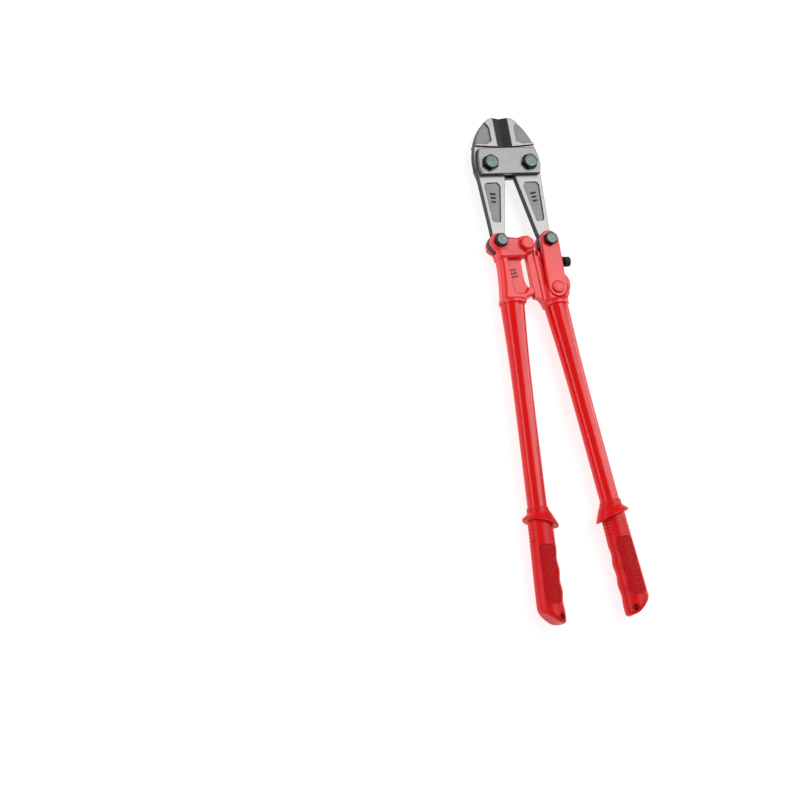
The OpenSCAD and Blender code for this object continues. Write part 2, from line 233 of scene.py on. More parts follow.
class BoltCutterStudio(bpy.types.PropertyGroup):
    """Camera and lights"""

    azimuth: FloatProperty(
        name="Azimuth", description="Direction the camera looks from, around the tool",
        default=math.radians(-53.26), subtype="ANGLE")
    elevation: FloatProperty(
        name="Elevation", description="Height of the camera above the floor, as an angle",
        default=math.radians(63.94), subtype="ANGLE")
    roll: FloatProperty(
        name="Roll", description="Turn of the camera about its line of sight",
        default=math.radians(46.18), subtype="ANGLE")
    distance: FloatProperty(
        name="Distance", description="Distance of the camera from the point it looks at",
        default=1.516, min=0.3, unit="LENGTH")
    target: FloatVectorProperty(
        name="Target", description="Point that the camera looks at",
        default=(-0.1393, -0.0258, CENTRE.z - 0.0003), size=3, subtype="TRANSLATION")
    lens: FloatProperty(
        name="Focal length", description="Focal length of the camera in millimetres",
        default=81.58, min=20.0, max=300.0)
    box_power: FloatProperty(
        name="Softbox power", description="Power of the softbox that the upper faces mirror",
        default=17.0, min=0.0, unit="POWER")
    side_power: FloatProperty(
        name="Side power", description="Power of the strip lights at the sides",
        default=13.0, min=0.0, unit="POWER")
    world_light: FloatProperty(
        name="World light", description="Brightness of the surroundings",
        default=0.30, min=0.0, max=3.0)


# ---- Signed distances: less than zero inside ----

def outline_distance(x, y, points):
    """Distance to a closed outline: the least distance to its sides, negative where a line drawn
    from the point crosses the outline an odd number of times."""
    x, y = np.broadcast_arrays(np.asarray(x, np.float32), np.asarray(y, np.float32))
    nearest = np.full(x.shape, 1e12, np.float32)
    sign = np.ones(x.shape, np.float32)
    for (ax, ay), (bx, by) in zip(points, points[1:] + points[:1]):
        side_x, side_y = bx - ax, by - ay
        from_x, from_y = x - ax, y - ay
        along = np.clip((from_x * side_x + from_y * side_y) / (side_x ** 2 + side_y ** 2), 0, 1)
        nearest = np.minimum(nearest, (from_x - side_x * along) ** 2 + (from_y - side_y * along) ** 2)
        above = y >= ay
        below = y < by
        left = side_x * from_y > side_y * from_x
        sign = np.where((above & below & left) | ~(above | below | left), -sign, sign)
    return sign * np.sqrt(nearest)


def disc(x, y, at, radius):
    """Distance to the centre, less the radius."""
    return np.hypot(x - at[0], y - at[1]) - radius


def capsule(x, y, start, end, radius):
    """Distance to the straight line from start to end, less the radius."""
    run_x, run_y = end[0] - start[0], end[1] - start[1]
    part = ((x - start[0]) * run_x + (y - start[1]) * run_y) / (run_x ** 2 + run_y ** 2)
    part = np.clip(part, 0, 1)
    return np.hypot(x - start[0] - run_x * part, y - start[1] - run_y * part) - radius


def bars(x, y, start, end, leans, pitch, radius=0.6):
    """Distance to three bars: each is `pitch` below the last, with its ends moved by the leans."""
    rows = [capsule(x, y, (start[0] + leans[0] * row, start[1] - pitch * row),
                    (end[0] + leans[1] * row, end[1] - pitch * row), radius) for row in range(3)]
    return np.minimum(np.minimum(rows[0], rows[1]), rows[2])


def rounded_rectangle(x, y, half_x, half_y, radius):
    """Distance to a rectangle about the origin: as a sharp one shrunk by the radius, less it."""
    flat_x = np.abs(x) - half_x + radius
    flat_y = np.abs(y) - half_y + radius
    outside = np.hypot(np.maximum(flat_x, 0), np.maximum(flat_y, 0))
    return outside + np.minimum(np.maximum(flat_x, flat_y), 0) - radius


def carried(flat, z, low, high, edge):
    """Flat shape carried from low to high with its rims rounded: outside the shape shrunk by edge
    the distance is the length of (across, along), inside it is the larger of the two."""
    across = flat + edge
    along = np.abs(z - (low + high) / 2) - (high - low) / 2 + edge
    outside = np.hypot(np.maximum(across, 0), np.maximum(along, 0))
    return outside + np.minimum(np.maximum(across, along), 0) - edge


def join(first, second, blend=0.0):
    """The smaller distance, with a fillet of about blend where the two are near each other."""
    if blend == 0:
        return np.minimum(first, second)
    part = np.clip(0.5 + 0.5 * (second - first) / blend, 0, 1)
    return second * (1 - part) + first * part - blend * part * (1 - part)


def both(first, second, blend=0.0):
    """The larger distance, with its edge rounded by about blend."""
    return -join(-first, -second, blend)


def cut(first, second, blend=0.0):
    """The first shape without the second."""
    return both(first, -second, blend)


def ease(value, low, high):
    """Smooth step: 0 up to low, 1 from high, 3t^2 - 2t^3 between."""
    part = np.clip((value - low) / (high - low), 0, 1)
    return part * part * (3 - 2 * part)


def curve(start, pull_a, pull_b, end, steps):
    """Points on the cubic curve from start to end, pulled towards pull_a and pull_b."""
    t = np.linspace(0, 1, steps + 1)[:, None]
    corners = [np.array(point, float) for point in (start, pull_a, pull_b, end)]
    weights = [(1 - t) ** 3, 3 * t * (1 - t) ** 2, 3 * t ** 2 * (1 - t), t ** 3]
    return [tuple(point) for point in sum(w * c for w, c in zip(weights, corners))]


def handle_place(x, y, collar_y):
    """Turns places into (outward, run): the right handle's axis starts at collar_y behind the
    centre bolt, and run is measured down it."""
    from_x = x - HANDLE_X - (collar_y - LEFT_COLLAR_Y) * math.tan(HANDLE_ANGLE)
    from_y = y + collar_y
    outward = from_x * math.cos(HANDLE_ANGLE) + from_y * math.sin(HANDLE_ANGLE)
    run = from_x * math.sin(HANDLE_ANGLE) - from_y * math.cos(HANDLE_ANGLE)
    return outward, run


# ---- Meshes ----

EDGES = [(a, a + step) for step in (1, 2, 4) for a in range(8) if not a & step]


def slopes(field, points, reach=0.05):
    """Gradient of a field by central differences: rises over twice the reach along each axis."""
    columns = []
    for axis in range(3):
        ahead = points.copy()
        behind = points.copy()
        ahead[:, axis] += reach
        behind[:, axis] -= reach
        columns.append((field(*ahead.T) - field(*behind.T)) / (2 * reach))
    return np.stack(columns, axis=1)


def net_surface(field, low, high, step):
    """Closed surface where field(x, y, z) is zero. Space is cut into cubes. Each cube that the
    surface crosses gets one point, the mean of the crossings on its edges, which is then moved
    along the slope until the field is zero. Four points make a face round each crossed grid edge."""
    axes = [np.arange(a, b + step, step, dtype=np.float32) for a, b in zip(low, high)]
    value = field(axes[0][:, None, None], axes[1][None, :, None], axes[2][None, None, :])
    value = np.broadcast_to(value, [len(axis) for axis in axes])
    inside = value < 0
    corners = []
    for c in range(8):
        bits = (c & 1, c >> 1 & 1, c >> 2)
        corners.append(tuple(slice(bit, size - 1 + bit) for bit, size in zip(bits, inside.shape)))
    count = sum(inside[part].astype(np.int8) for part in corners)
    crossed = (count > 0) & (count < 8)
    number = np.full(crossed.shape, -1, np.int64)
    number[crossed] = np.arange(crossed.sum())
    at_corner = np.stack([value[part][crossed] for part in corners], axis=1).astype(float)
    bits = np.array([[c & 1, c >> 1 & 1, c >> 2] for c in range(8)], float)
    total = np.zeros((len(at_corner), 3))
    crossings = np.zeros((len(at_corner), 1))
    for a, b in EDGES:
        changes = (at_corner[:, a] < 0) != (at_corner[:, b] < 0)
        rise = at_corner[:, a] - at_corner[:, b]
        part = np.where(changes, at_corner[:, a] / np.where(changes, rise, 1), 0)
        total += changes[:, None] * (bits[a] + part[:, None] * (bits[b] - bits[a]))
        crossings += changes[:, None]
    points = (np.argwhere(crossed) + total / crossings) * step + np.array(low)
    faces = []
    for axis in range(3):
        across, upward = (axis + 1) % 3, (axis + 2) % 3
        turned_in = np.moveaxis(inside, (axis, across, upward), (0, 1, 2))
        turned_number = np.moveaxis(number, (axis, across, upward), (0, 1, 2))
        here = turned_in[:-1, 1:-1, 1:-1]
        ahead = turned_in[1:, 1:-1, 1:-1]
        rings = np.stack([turned_number[:, :-1, :-1], turned_number[:, 1:, :-1],
                          turned_number[:, 1:, 1:], turned_number[:, :-1, 1:]], axis=-1)
        faces.append(rings[here & ~ahead])
        faces.append(rings[~here & ahead][:, ::-1])
    for _ in range(3):
        slope = slopes(field, points)
        steepness = np.maximum((slope ** 2).sum(1), 0.05)
        move = field(*points.T) / steepness
        points -= np.clip(move, -step / 2, step / 2)[:, None] * slope
    slope = slopes(field, points)
    normals = slope / np.maximum(np.linalg.norm(slope, axis=1), 1e-6)[:, None]
    return points, np.concatenate(faces), normals


def turned_surface(radii, heights, loop=False):
    """Closed surface turned about Z from (rows, columns) arrays of radius and height, rows going
    up the outside. A loop's last row joins its first; otherwise the ends close on the axis."""
    rows, columns = radii.shape
    angle = np.arange(columns) * 2 * math.pi / columns
    points = np.stack([radii * np.cos(angle), radii * np.sin(angle), heights], axis=-1).reshape(-1, 3)
    near = np.arange(rows if loop else rows - 1)[:, None]
    far = (near + 1) % rows
    here = np.arange(columns)[None, :]
    after = (here + 1) % columns
    quads = np.stack([near * columns + here, near * columns + after,
                      far * columns + after, far * columns + here], axis=-1).reshape(-1, 4)
    faces = [tuple(quad) for quad in quads.tolist()]
    if loop:
        return points, faces
    ends = np.array([[0, 0, heights[0].mean()], [0, 0, heights[-1].mean()]])
    foot, top = len(points), len(points) + 1
    last = (rows - 1) * columns
    faces += [(foot, (c + 1) % columns, c) for c in range(columns)]
    faces += [(top, last + c, last + (c + 1) % columns) for c in range(columns)]
    return np.concatenate([points, ends]), faces


def profile_rows(rows, columns):
    """Stacks (radius, height) pairs, each a number or an array over the columns."""
    radii = np.stack([np.broadcast_to(radius, columns) for radius, _ in rows])
    heights = np.stack([np.broadcast_to(height, columns) for _, height in rows])
    return radii.astype(float), heights.astype(float)


def mirrored(shape, flip=(-1, 1, 1)):
    """The twin of a shape: x, or the axis that is -1 in flip, changes sign and the faces turn round."""
    points, faces, normals = shape
    flip = np.array(flip)
    return points * flip, faces[:, ::-1], normals * flip


def make_piece(name, nodes, points, faces, finish, normals=None, crease=None, masks=None):
    """Adds a piece in place, in metres, that stands for the named CAD nodes and rides on their body.
    Given normals shade it; without them, edges sharper than crease stay sharp."""
    mesh = bpy.data.meshes.new(name)
    faces = faces.tolist() if isinstance(faces, np.ndarray) else faces
    mesh.from_pydata((points * MM + np.array(CENTRE)).tolist(), [], faces)
    mesh.polygons.foreach_set("use_smooth", np.ones(len(mesh.polygons), bool))
    for mask, values in (masks or {}).items():
        layer = mesh.attributes.new(mask, "FLOAT", "POINT")
        layer.data.foreach_set("value", np.broadcast_to(values, len(points)).astype(np.float32))
    if normals is not None:
        mesh.normals_split_custom_set_from_vertices(normals.tolist())
    if crease is not None:
        mesh.set_sharp_from_angle(angle=math.radians(crease))
    mesh.validate()
    mesh.materials.append(finish)
    piece = bpy.data.objects.new(name, mesh)
    bpy.context.scene.collection.objects.link(piece)
    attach(piece, frame["nodes"][nodes[0]]["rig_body"])
    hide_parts(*nodes)
    return piece


def node_margin(node, spare=1.5):
    """Corners of a CAD node's box with some room round it, for net_surface."""
    low, high = corner(node, 0), corner(node, 1)
    return [value - spare for value in low], [value + spare for value in high]


# ---- Jaws ----

def jaw_outline(x, y):
    """Distance to the right jaw's outline: a curved head, a straight tail and a round eye."""
    edge_x = BLADE_GAP
    head = curve((8.5, TIP_Y), (17.5, TIP_Y - 1), (30.5, TIP_Y - 20), (32, TIP_Y - 41), 16)
    points = [(edge_x, TIP_Y)] + head + [
        (31.8, JAW_Y - 2), (30.6, JAW_Y - 5.5), (28, 16), (TAIL_X + 4, TAIL_Y), (TAIL_X - 6, TAIL_Y),
        (15.8, 11), (5.3, 65), (4.2, 72), (3.6, 86), (edge_x, 92)]
    return outline_distance(x, y, points)


def head_pocket(x, y):
    """Distance to the pocket in the head, which is open to the outer side."""
    return outline_distance(x, y, [
        (13.4, 116), (12.2, 113), (12.4, 101), (17.6, 98.2), (40, 99.5), (40, 120), (17, 120)])


def tail_pocket(x, y):
    """Distance to the long pocket in the tail."""
    return outline_distance(x, y, [
        (11.4, 57.6), (13.8, 61.2), (24.2, 61.2), (26.4, 58.4), (24.9, 25.6), (23, 24), (17.6, 24)])


def jaw_marks(x, y):
    """Distance to the raised bars on the tail pocket's floor."""
    return bars(x, y, (17.6, 50.5), (21.6, 51.1), (0.5, 0.0), 3.7)


def bevel_side(x, drop, rise):
    """Distance outside a bevel that starts level with the cutting edge and rises by `rise` across
    its width; drop is how far a point lies outwards of the edge."""
    run = BEVEL_WIDTH - BLADE_GAP
    return (drop * run - (x - BLADE_GAP) * rise) / math.hypot(run, rise)


def jaw_field(x, y, z):
    """Right jaw: a thin tail and eye, a thicker head past the shoulder, less the sloping bevels
    beside the cutting edge, the pockets and the two bores."""
    outline = jaw_outline(x, y)
    height = np.abs(z)
    tail = carried(np.minimum(outline, disc(x, y, (TAIL_X, TAIL_Y), TAIL_EYE_R)), z, -JAW_Z, JAW_Z, 0.7)
    past_shoulder = (SHOULDER_Y - y + 0.07 * x) * 0.997
    head = carried(both(outline, past_shoulder), z, -HEAD_Z, HEAD_Z, 0.55)
    body = join(tail, head)
    front_root = EDGE_Z + BEVEL_LAND
    rear_root = EDGE_Z - BEVEL_LAND
    bevel = np.maximum(bevel_side(x, z - front_root, HEAD_Z - front_root),
                       bevel_side(x, rear_root - z, HEAD_Z + rear_root))
    body = both(body, np.where(y > SHOULDER_Y - 1, bevel, -9.0), 0.25)
    body = cut(body, carried(head_pocket(x, y), height, HEAD_Z - 1.5, 30, 0.5), 0.5)
    recess = carried(tail_pocket(x, y), height, JAW_Z - 1.2, 30, 0.5)
    recess = cut(recess, carried(jaw_marks(x, y), height, 0, JAW_Z - 0.65, 0.2), 0.2)
    body = cut(body, recess, 0.5)
    body = cut(body, disc(x, y, (JAW_X, JAW_Y), JAW_BORE_R))
    return cut(body, disc(x, y, (TAIL_X, TAIL_Y), TAIL_BOLT_R + FIT_GAP))


def jaw_masks(points, normals):
    """Where the jaw is ground bright, where it is a bevel, and where it is a pocket or a mark."""
    x, y, z = points.T
    height = np.abs(z)
    # Faces that are not flat take the dark scale colour, which also serves as painted shade on the sides
    # and pocket walls
    flat = ease(np.abs(normals[:, 2]), 0.72, 0.9)
    in_head = ease(y, SHOULDER_Y - 0.6, SHOULDER_Y - 0.2)
    bevel = in_head * ease(BEVEL_WIDTH + 0.1 - x, -0.2, 0.2) * ease(np.abs(normals[:, 0]), 0.12, 0.25)
    floor_depth = ease(HEAD_Z - height, 0.9, 1.3) * in_head
    floor_depth += ease(JAW_Z - height, 0.4, 0.6) * (1 - in_head)
    pocket_flat = np.minimum(head_pocket(x, y), tail_pocket(x, y))
    pocket = floor_depth * ease(-pocket_flat, -0.3, 0.3) * flat
    mark = ease(-jaw_marks(x, y), -0.5, 0.1) * ease(-tail_pocket(x, y), 0.5, 1.0) * (1 - in_head)
    return {"ground": flat * (1 - pocket) * (1 - bevel), "pocket": pocket, "bevel": bevel,
            "mark": mark * ease(height, JAW_Z - 1.6, JAW_Z - 1.3)}


# ---- Joint plates and side links ----

def plate_field(x, y, z):
    """Front joint plate: an eight-sided outline with softened corners and rims."""
    half = corner("front_joint_plate", 1).x
    low, high = corner("front_joint_plate", 0).y, corner("front_joint_plate", 1).y
    right = [(half - 2.8, high), (half - 0.8, high - 7), (half, low + 7.6), (half - 2, low)]
    left = [(-px, py) for px, py in reversed(right)]
    flat = outline_distance(x, y, right + left)
    body = carried(flat, z, INNER_Z, OUTER_Z, 0.7)
    for side in (-1, 1):
        body = cut(body, disc(x, y, (side * JAW_X, JAW_Y), JAW_BOLT_R + FIT_GAP))
    return body


def link_field(x, y, z):
    """Front side link: a flat bar with round ends, two eyes and rounded rims."""
    tail, anchor = (TAIL_X, TAIL_Y), (ANCHOR_X, ANCHOR_Y)
    body = carried(capsule(x, y, tail, anchor, LINK_R), z, INNER_Z, OUTER_Z, 1.1)
    body = cut(body, disc(x, y, tail, TAIL_BOLT_R + FIT_GAP))
    return cut(body, disc(x, y, anchor, TAIL_BOLT_R + FIT_GAP))


def rear_twin(shape):
    """The same shape on the rear side."""
    return mirrored(shape, (1, 1, -1))


def face_mask(normals):
    """1 on flat faces that look up or down, 0 on the sides."""
    # The sides, 0 here, get a darker plate colour as painted shade
    return {"ground": ease(np.abs(normals[:, 2]), 0.72, 0.9)}


# ---- Yokes ----

def socket_field(x, y, z, collar_y):
    """Round collar above the tube, with a cone over it and a spigot inside the tube."""
    outward, run = handle_place(x, y, collar_y)
    radial = np.hypot(outward, z)
    collar = carried(radial - COLLAR_R, run, -COLLAR_RUN, 0, 0.9)
    spigot = carried(radial - SPIGOT_R, run, -3, SPIGOT_RUN, 0.6)
    return collar, spigot


def left_cheek(x, y):
    """Distance to the outline of a fork cheek: a round eye at each pivot and the arm between."""
    arm = outline_distance(x, y, [
        (-TAIL_X - 7.8, TAIL_Y), (-TAIL_X, TAIL_Y + 5.6), (0, 5.8), (6.6, -5.5), (-3.4, -11),
        (-26.6, -11), (-27.4, -5)])
    eyes = np.minimum(disc(x, y, (-TAIL_X, TAIL_Y), CHEEK_EYE_R),
                      disc(x, y, (0, 0), PIVOT_EYE_R))
    return join(arm, eyes, 1.5)


def left_frame(x, y):
    """Distance to the outline below the fork: the bowed rail, the shoulder and the pointed foot."""
    rail = curve((-27.4, -6), (-26.6, -20), (-28.4, -34), (-31.2, -LEFT_COLLAR_Y + 2), 10)
    waist = curve((-2.6, -38), (-4.4, -36), (-5.4, -34), (-5.4, -30), 5)
    return outline_distance(x, y, rail + [
        (-29, -LEFT_COLLAR_Y + 1), (-9.5, -LEFT_COLLAR_Y + 0.5), (-8.2, -48.6), (-3.6, -47.4),
        (0.7, -45.6), (0.7, -41.6)] + waist + [(-5.4, -14), (-3.2, -11), (-3.2, -9), (-27, -4)])


def left_pocket(x, y):
    """Distance to the pocket beside the rail, open towards the other yoke."""
    lower = curve((-5, -40), (-7, -43.6), (-8, -45), (-11, -45), 6)
    return outline_distance(x, y, [
        (-19.6, -12.6), (-18.2, -11.6), (2, -11.6), (2, -37)] + lower + [(-15.5, -45), (-18.4, -42.4)])


def yoke_marks(x, y):
    """Distance to the raised bars on the web."""
    return bars(x, y, (-17, -22), (-12.6, -21.2), (0.5, 0.5), 3.2)


def left_yoke_field(x, y, z):
    """Left yoke: two cheeks that make a fork, a rail and web with a pocket in each face, and the
    socket. Rims are rounder along the rail's outer side."""
    height = np.abs(z)
    cheeks = carried(left_cheek(x, y), height, INNER_Z - 2, OUTER_Z, 2.2)
    cheeks = both(cheeks, INNER_Z - height, 0.3)
    rim = 1.3 + 3.6 * ease(-x, 19, 25) * ease(-y, 2, 12)
    body = carried(left_frame(x, y), z, -FRAME_Z, FRAME_Z, rim)
    recess = carried(left_pocket(x, y), height, WEB_Z, 20, 0.9)
    recess = cut(recess, carried(yoke_marks(x, y), height, 0, WEB_Z + 0.7, 0.3), 0.3)
    body = cut(body, recess, 1.3)
    collar, spigot = socket_field(-x, y, z, LEFT_COLLAR_Y)
    body = join(join(cheeks, body, 2.2), collar, 2.5)
    ring = np.minimum(disc(x, y, (0, 0), BOSS_R), disc(x, y, (-TAIL_X, TAIL_Y), BOSS_R))
    body = join(body, carried(ring, z, OUTER_Z - 3, BOSS_TOP, 0.4), 0.5)
    body = join(body, spigot)
    slot_room = np.minimum(disc(x, y, (-TAIL_X, TAIL_Y), TAIL_EYE_R + EYE_ROOM),
                           disc(x, y, (0, 0), PIVOT_EYE_R + EYE_ROOM))
    body = cut(body, both(slot_room, height - INNER_Z))
    body = cut(body, disc(x, y, (0, 0), CENTRE_BOLT_R + FIT_GAP))
    return cut(body, disc(x, y, (-TAIL_X, TAIL_Y), TAIL_BOLT_R + FIT_GAP))


def yoke_masks(points):
    """Where the raised bars are, to darken them."""
    x, y, z = points.T
    return {"mark": ease(-yoke_marks(x, y), -0.6, 0.0) * (1 - ease(np.abs(z), WEB_Z + 0.8, WEB_Z + 1.2))}


def right_body(x, y):
    """Distance to the outline of the right yoke's body, from the tongue down to the collar."""
    foot = curve((11.2, -57.4), (8.4, -51.6), (5.6, -48.4), (1, -48.2), 8)
    return outline_distance(x, y, [
        (1, -8), (8, -3.6), (12.6, -5.2), (14.7, -9), (14.7, -42), (15.2, -46.5), (20, -51.4),
        (30.5, -51.4), (31, -55)] + foot)


def right_lug(x, y):
    """Distance to the outline of the lug that lies between the side links."""
    arm = outline_distance(x, y, [
        (1, -8), (12.6, -5.2), (15, -20), (21, -24), (33, -28), (32, -48), (4, -48)])
    return join(arm, disc(x, y, (ANCHOR_X + 3.2, ANCHOR_Y + 5), 11.8), 2.0)


def right_yoke_field(x, y, z):
    """Right yoke: a tongue in the fork, a ridged body, a lug between the links, a raised rim round
    the links' lower ends, and the socket. A shallow panel is sunk beside the ridge."""
    height = np.abs(z)
    tongue = np.minimum(disc(x, y, (0, 0), PIVOT_EYE_R), outline_distance(x, y, [
        (-3, -7.6), (8, -3.2), (12, -6), (12, -16), (1, -16), (1, -9)]))
    body = carried(tongue, z, -JAW_Z, JAW_Z, 0.6)
    fork_room = PIVOT_ROOM_R - np.hypot(x, y)
    ridge = BODY_Z - 1.1 * ease(x, 9.6, 15) * ease(-y, 6, 12)
    main = carried(both(right_body(x, y), fork_room), height, -20, ridge, 0.9)
    lug = carried(both(right_lug(x, y), fork_room), z, -INNER_Z + 0.02, INNER_Z - 0.02, 1.2)
    body = join(join(body, main, 0.4), lug, 0.4)
    rim_level = INNER_Z + 3.6 * ease(-y, 36, 44)
    rim_flat = both(disc(x, y, (ANCHOR_X - 1.2, ANCHOR_Y - 0.5), 12.9), 12.8 - x, 2.0)
    rim_flat = both(rim_flat, y + 36)
    body = join(body, carried(rim_flat, height, -20, rim_level, 1.4), 1.2)
    collar, spigot = socket_field(x, y, z, RIGHT_COLLAR_Y)
    body = join(body, collar, 4.0)
    body = join(body, spigot)
    panel = both(outline_distance(x, y, [(-1, -6), (7, -6), (8.4, -50), (-1, -50)]), fork_room)
    body = cut(body, carried(panel, height, BODY_Z - 1.4, 20, 0.3), 0.4)
    notch = capsule(x, y, (9.8, -5.4), (10.2, -8.8), 1.1)
    body = cut(body, carried(notch, height, BODY_Z - 2.5, 20, 0.3), 0.5)
    body = cut(body, both(disc(x, y, (ANCHOR_X, ANCHOR_Y), LINK_R + 0.4), INNER_Z - height), 0.3)
    upper = capsule(x, y, (TAIL_X, TAIL_Y), (ANCHOR_X, ANCHOR_Y), LINK_R + 0.2)
    body = cut(body, both(upper, INNER_Z - height))
    body = cut(body, disc(x, y, (0, 0), CENTRE_BOLT_R + FIT_GAP))
    body = cut(body, disc(x, y, (TAIL_X, TAIL_Y), TAIL_EYE_R + EYE_ROOM))
    return cut(body, disc(x, y, (ANCHOR_X, ANCHOR_Y), TAIL_BOLT_R + FIT_GAP))


# ---- Fasteners ----

COLUMNS = 96
TURN = np.arange(COLUMNS) * 2 * math.pi / COLUMNS


def hexagon(flats):
    """Radius of a hexagon over a turn: half the width across flats over the cosine of the angle
    from the nearest flat's middle."""
    sixth = math.pi / 3
    return flats / 2 / np.cos(np.mod(TURN, sixth) - sixth / 2)


def head_rows(flats, low, high, crown=0.84):
    """Rows up a hexagonal head: a washer face, sides whose tops are cut by a cone, and a disc top."""
    sides = hexagon(flats)
    top_r = flats / 2 * crown
    cone = high - (sides - top_r) * math.tan(math.radians(32))
    return [(flats * 0.47, low), (flats * 0.47, low + 0.35), (sides - 0.1, low + 0.36), (sides, low + 0.5),
            (sides, cone - 0.12), (sides - 0.14, cone + 0.02), (top_r + 0.1, high - 0.04),
            (top_r - 0.15, high), (top_r * 0.55, high - 0.04), (top_r * 0.2, high - 0.05)]


def thread_rows(radius, low, high, pitch):
    """Rows up a threaded stretch: the radius dips by up to 0.6 of the pitch along a helix."""
    rows = []
    for level in np.arange(low, high, pitch / 6):
        phase = level / pitch * 2 * math.pi - TURN
        rows.append((radius - 0.3 * pitch * (1 - np.cos(phase)), level))
    return rows


def bolt_shape(radius, flats, seat, top, pitch):
    """Bolt standing on the axis: thread up to the inner face of the rear plate, shank, and head."""
    rows = [(radius - 1.3, BOLT_FOOT), (radius - 0.8, BOLT_FOOT)]
    rows += thread_rows(radius, BOLT_FOOT + 0.6, -OUTER_Z + 1, pitch)
    rows += [(radius, -OUTER_Z + 1.6), (radius, seat)] + head_rows(flats, seat, top)
    return turned_surface(*profile_rows(rows, COLUMNS))


def nut_shape(radius, flats, low, high):
    """Nut as a closed ring: bore, lower cone, hexagonal sides and upper cone."""
    sides = hexagon(flats)
    top_r = flats / 2 * 0.95
    cone = (sides - top_r) * math.tan(math.radians(30))
    bore = radius + 0.03
    rows = [(bore, low + 0.6), (bore + 0.5, low), (top_r, low), (sides, low + cone + 0.05),
            (sides, high - cone - 0.05), (top_r, high), (bore + 0.5, high), (bore, high - 0.6)]
    return turned_surface(*profile_rows(rows, COLUMNS), loop=True)


def pin_shape(radius):
    """Riveted pin: a shank between two low domed heads, each with a ring pressed into it."""
    top = ANCHOR_HIGH.z
    half = [(radius, OUTER_Z), (6.0, OUTER_Z + 0.02), (5.95, OUTER_Z + 0.5), (5.7, top - 0.7),
            (5.3, top - 0.12), (5.0, top), (4.4, top), (4.1, top - 0.4), (3.8, top - 0.4),
            (3.5, top - 0.1), (1.5, top - 0.02)]
    rows = [(r, -level) for r, level in reversed(half)] + half
    return turned_surface(*profile_rows(rows, COLUMNS))


def screw_shape(pitch):
    """Adjusting screw along its axis: rounded point, thread, and a knurled head with a hex socket."""
    length = SCREW_END - SCREW_X
    under_head = length - SCREW_HEAD
    knurl = 4.6 - 0.14 * (1 + np.cos(TURN * 32))
    socket = hexagon(4.4)
    rows = [(1.0, 0), (1.9, 0.25)] + thread_rows(SCREW_R, 0.9, under_head - 0.8, pitch)
    rows += [(SCREW_R - 0.3, under_head), (4.3, under_head), (4.55, under_head + 0.5)]
    rows += [(knurl, under_head + 0.8),
             (knurl, length - 1.0), (4.5, length - 0.6), (4.1, length), (socket + 0.25, length),
             (socket, length - 0.3), (socket, length - 3.0), (1.2, length - 3.4)]
    return turned_surface(*profile_rows(rows, COLUMNS))


def lock_nut_shape():
    """Lock nut of the adjusting screw, along the screw's axis."""
    start = corner("adjusting_lock_nut", 0).x - SCREW_X
    return nut_shape(SCREW_R, 9.0, start, start + 3.0)


def along_x(points):
    """Turns a shape standing on Z so that it runs along X from the adjusting screw's point."""
    x, y, z = points.T
    return np.stack([z + SCREW_X, y + SCREW_Y, -x], axis=1)


def block_field(x, y, z):
    """Adjusting block: a rounded box between the links, bored for the screw."""
    low, high = corner("adjusting_block", 0), corner("adjusting_block", 1)
    middle, half = (low + high) / 2, (high - low) / 2
    flat = rounded_rectangle(x - middle.x, y - middle.y, half.x, half.y, 0.8)
    body = carried(flat, z, low.z, high.z, 0.7)
    return cut(body, np.hypot(y - SCREW_Y, z) - SCREW_R - FIT_GAP, 0.4)


# ---- Tubes and grips ----

def handle_points(points, collar_y):
    """Sets a shape standing on its Z axis down the right handle from collar_y: its X points
    outwards, its Y up and its Z down the handle."""
    outward, upward, run = points.T
    axis_x = HANDLE_X + (collar_y - LEFT_COLLAR_Y) * math.tan(HANDLE_ANGLE)
    x = axis_x + outward * math.cos(HANDLE_ANGLE) + run * math.sin(HANDLE_ANGLE)
    y = -collar_y + outward * math.sin(HANDLE_ANGLE) - run * math.cos(HANDLE_ANGLE)
    return np.stack([x, y, upward], axis=1)


def tube_shape(collar_y):
    """Tube as a closed ring: the outer radius is TUBE_R plus a flare that fades as
    exp(-(run / 42) ** 1.4), and the inner one is constant, with both rims rounded."""
    length = (GRIP_END_Y - TUBE_SHORT_OF_END - collar_y) / math.cos(HANDLE_ANGLE)
    run = np.concatenate([np.linspace(0.5, 90, 40), np.linspace(96, length - 0.5, 24)])
    outer = TUBE_R + TUBE_FLARE * np.exp(-(run / 42) ** 1.4)
    rows = [(TUBE_BORE_R + 0.3, 0), (outer[0] - 0.45, 0.0), (outer[0] - 0.1, 0.18)]
    rows += list(zip(outer, run))
    rows += [(TUBE_R - 0.4, length), (TUBE_BORE_R, length), (TUBE_BORE_R, length / 2), (TUBE_BORE_R, 0.3)]
    points, faces = turned_surface(*profile_rows(rows, COLUMNS), loop=True)
    return handle_points(points, collar_y), faces


class GripSizes:
    """Sizes of a grip in millimetres, taken from the settings."""

    def __init__(self, shape):
        self.hatch_spacing = shape.hatch_spacing / MM
        self.hatch_depth = shape.hatch_depth / MM
        self.rib_pitch = shape.rib_pitch / MM
        self.scallop = shape.scallop_depth / MM


def groove(across, pitch, width):
    """Row of grooves: 1 in the middle of each, falling smoothly to 0 at half the width."""
    from_middle = np.abs(np.mod(across / pitch + 0.5, 1) - 0.5) * pitch
    return 1 - ease(from_middle, 0, width / 2)


def hatch_panel(outward, run):
    """Distance to the rounded panel that holds the hatching on the front and the rear."""
    return rounded_rectangle(outward + 1.0, run - 58.5, 7.2, 25.5, 4.5)


